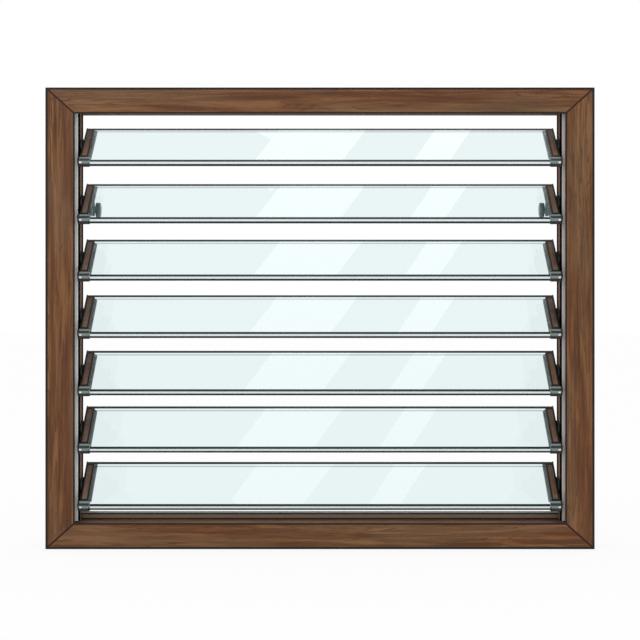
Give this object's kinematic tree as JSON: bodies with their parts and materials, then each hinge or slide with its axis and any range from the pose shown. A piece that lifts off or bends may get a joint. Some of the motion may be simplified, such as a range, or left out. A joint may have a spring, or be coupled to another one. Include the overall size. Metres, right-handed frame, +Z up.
{
  "type": "ventilator window",
  "caption": "Louvre window with tilting horizontal glass blades, held in end clips between two vertical galleries in a mitred wood-finish frame.",
  "frame": {"origin": "centre of the sill's underside: middle of the width, middle of the frame's depth", "axes": "+X along the width to the right seen from outdoors, +Y into the room, +Z up"},
  "size_m": [0.872, 0.0918, 0.733],
  "materials": {
    "timber_finish": "walnut wood-grain powder coat, satin",
    "timber_cover": "walnut wood-grain foil, satin",
    "bronze_trim": "bronze powder coat, satin",
    "grey_seal": "light grey soft strip, matt",
    "dark_nylon": "moulded nylon",
    "louvre_glass": "clear float glass with ground edges",
    "moulded_clip": "dark green-grey moulded nylon, satin",
    "knob": "green-grey moulded plastic",
    "link_metal": "mill finish"
  },
  "bodies": {
    "frame": {"head": "timber_finish", "sill": "timber_finish", "left_jamb": "timber_finish", "right_jamb": "timber_finish", "sill_board": "timber_finish", "sill_weather_bar": "bronze_trim", "sill_seal": "grey_seal", "head_weather_bar": "bronze_trim", "left_gallery": "bronze_trim", "right_gallery": "bronze_trim", "left_pivot_bushes": "dark_nylon", "right_pivot_bushes": "dark_nylon", "left_side_seal": "grey_seal", "right_side_seal": "grey_seal"},
    "blade_1": {"blade_1_glass": "louvre_glass", "blade_1_clips": "moulded_clip", "blade_1_covers": "timber_cover"},
    "blade_2": {"blade_2_glass": "louvre_glass", "blade_2_clips": "moulded_clip", "blade_2_covers": "timber_cover", "left_knob": "knob", "right_knob": "knob"},
    "blade_3": {"blade_3_glass": "louvre_glass", "blade_3_clips": "moulded_clip", "blade_3_covers": "timber_cover"},
    "blade_4": {"blade_4_glass": "louvre_glass", "blade_4_clips": "moulded_clip", "blade_4_covers": "timber_cover"},
    "blade_5": {"blade_5_glass": "louvre_glass", "blade_5_clips": "moulded_clip", "blade_5_covers": "timber_cover"},
    "blade_6": {"blade_6_glass": "louvre_glass", "blade_6_clips": "moulded_clip", "blade_6_covers": "timber_cover"},
    "blade_7": {"blade_7_glass": "louvre_glass", "blade_7_clips": "moulded_clip", "blade_7_covers": "timber_cover"},
    "link_bars": {"left_link_bar": "link_metal", "right_link_bar": "link_metal"}
  },
  "joints": [
    {"name": "blade_2_pivot", "type": "hinge", "parent": "frame", "child": "blade_2", "pos_m": [0, 0, 0.5515], "axis": [-1, 0, 0], "range_deg": [-44.5, 37.5]},
    {"name": "blade_1_pivot", "type": "hinge", "parent": "frame", "child": "blade_1", "pos_m": [0, 0, 0.6425], "axis": [-1, 0, 0], "range_deg": [-44.5, 37.5]},
    {"name": "blade_3_pivot", "type": "hinge", "parent": "frame", "child": "blade_3", "pos_m": [0, 0, 0.4605], "axis": [-1, 0, 0], "range_deg": [-44.5, 37.5]},
    {"name": "blade_4_pivot", "type": "hinge", "parent": "frame", "child": "blade_4", "pos_m": [0, 0, 0.3695], "axis": [-1, 0, 0], "range_deg": [-44.5, 37.5]},
    {"name": "blade_5_pivot", "type": "hinge", "parent": "frame", "child": "blade_5", "pos_m": [0, 0, 0.2785], "axis": [-1, 0, 0], "range_deg": [-44.5, 37.5]},
    {"name": "blade_6_pivot", "type": "hinge", "parent": "frame", "child": "blade_6", "pos_m": [0, 0, 0.1875], "axis": [-1, 0, 0], "range_deg": [-44.5, 37.5]},
    {"name": "blade_7_pivot", "type": "hinge", "parent": "frame", "child": "blade_7", "pos_m": [0, 0, 0.0965], "axis": [-1, 0, 0], "range_deg": [-44.5, 37.5]},
    {"name": "link_bar_pins", "type": "hinge", "parent": "blade_2", "child": "link_bars", "pos_m": [0, 0.01098, 0.55083], "axis": [-1, 0, 0], "range_deg": [-37.5, 44.5]}
  ],
  "couplings": [
    {"joint": "blade_1_pivot", "follows": "blade_2_pivot", "ratio": 1},
    {"joint": "blade_3_pivot", "follows": "blade_2_pivot", "ratio": 1},
    {"joint": "blade_4_pivot", "follows": "blade_2_pivot", "ratio": 1},
    {"joint": "blade_5_pivot", "follows": "blade_2_pivot", "ratio": 1},
    {"joint": "blade_6_pivot", "follows": "blade_2_pivot", "ratio": 1},
    {"joint": "blade_7_pivot", "follows": "blade_2_pivot", "ratio": 1},
    {"joint": "link_bar_pins", "follows": "blade_2_pivot", "ratio": -1}
  ]
}
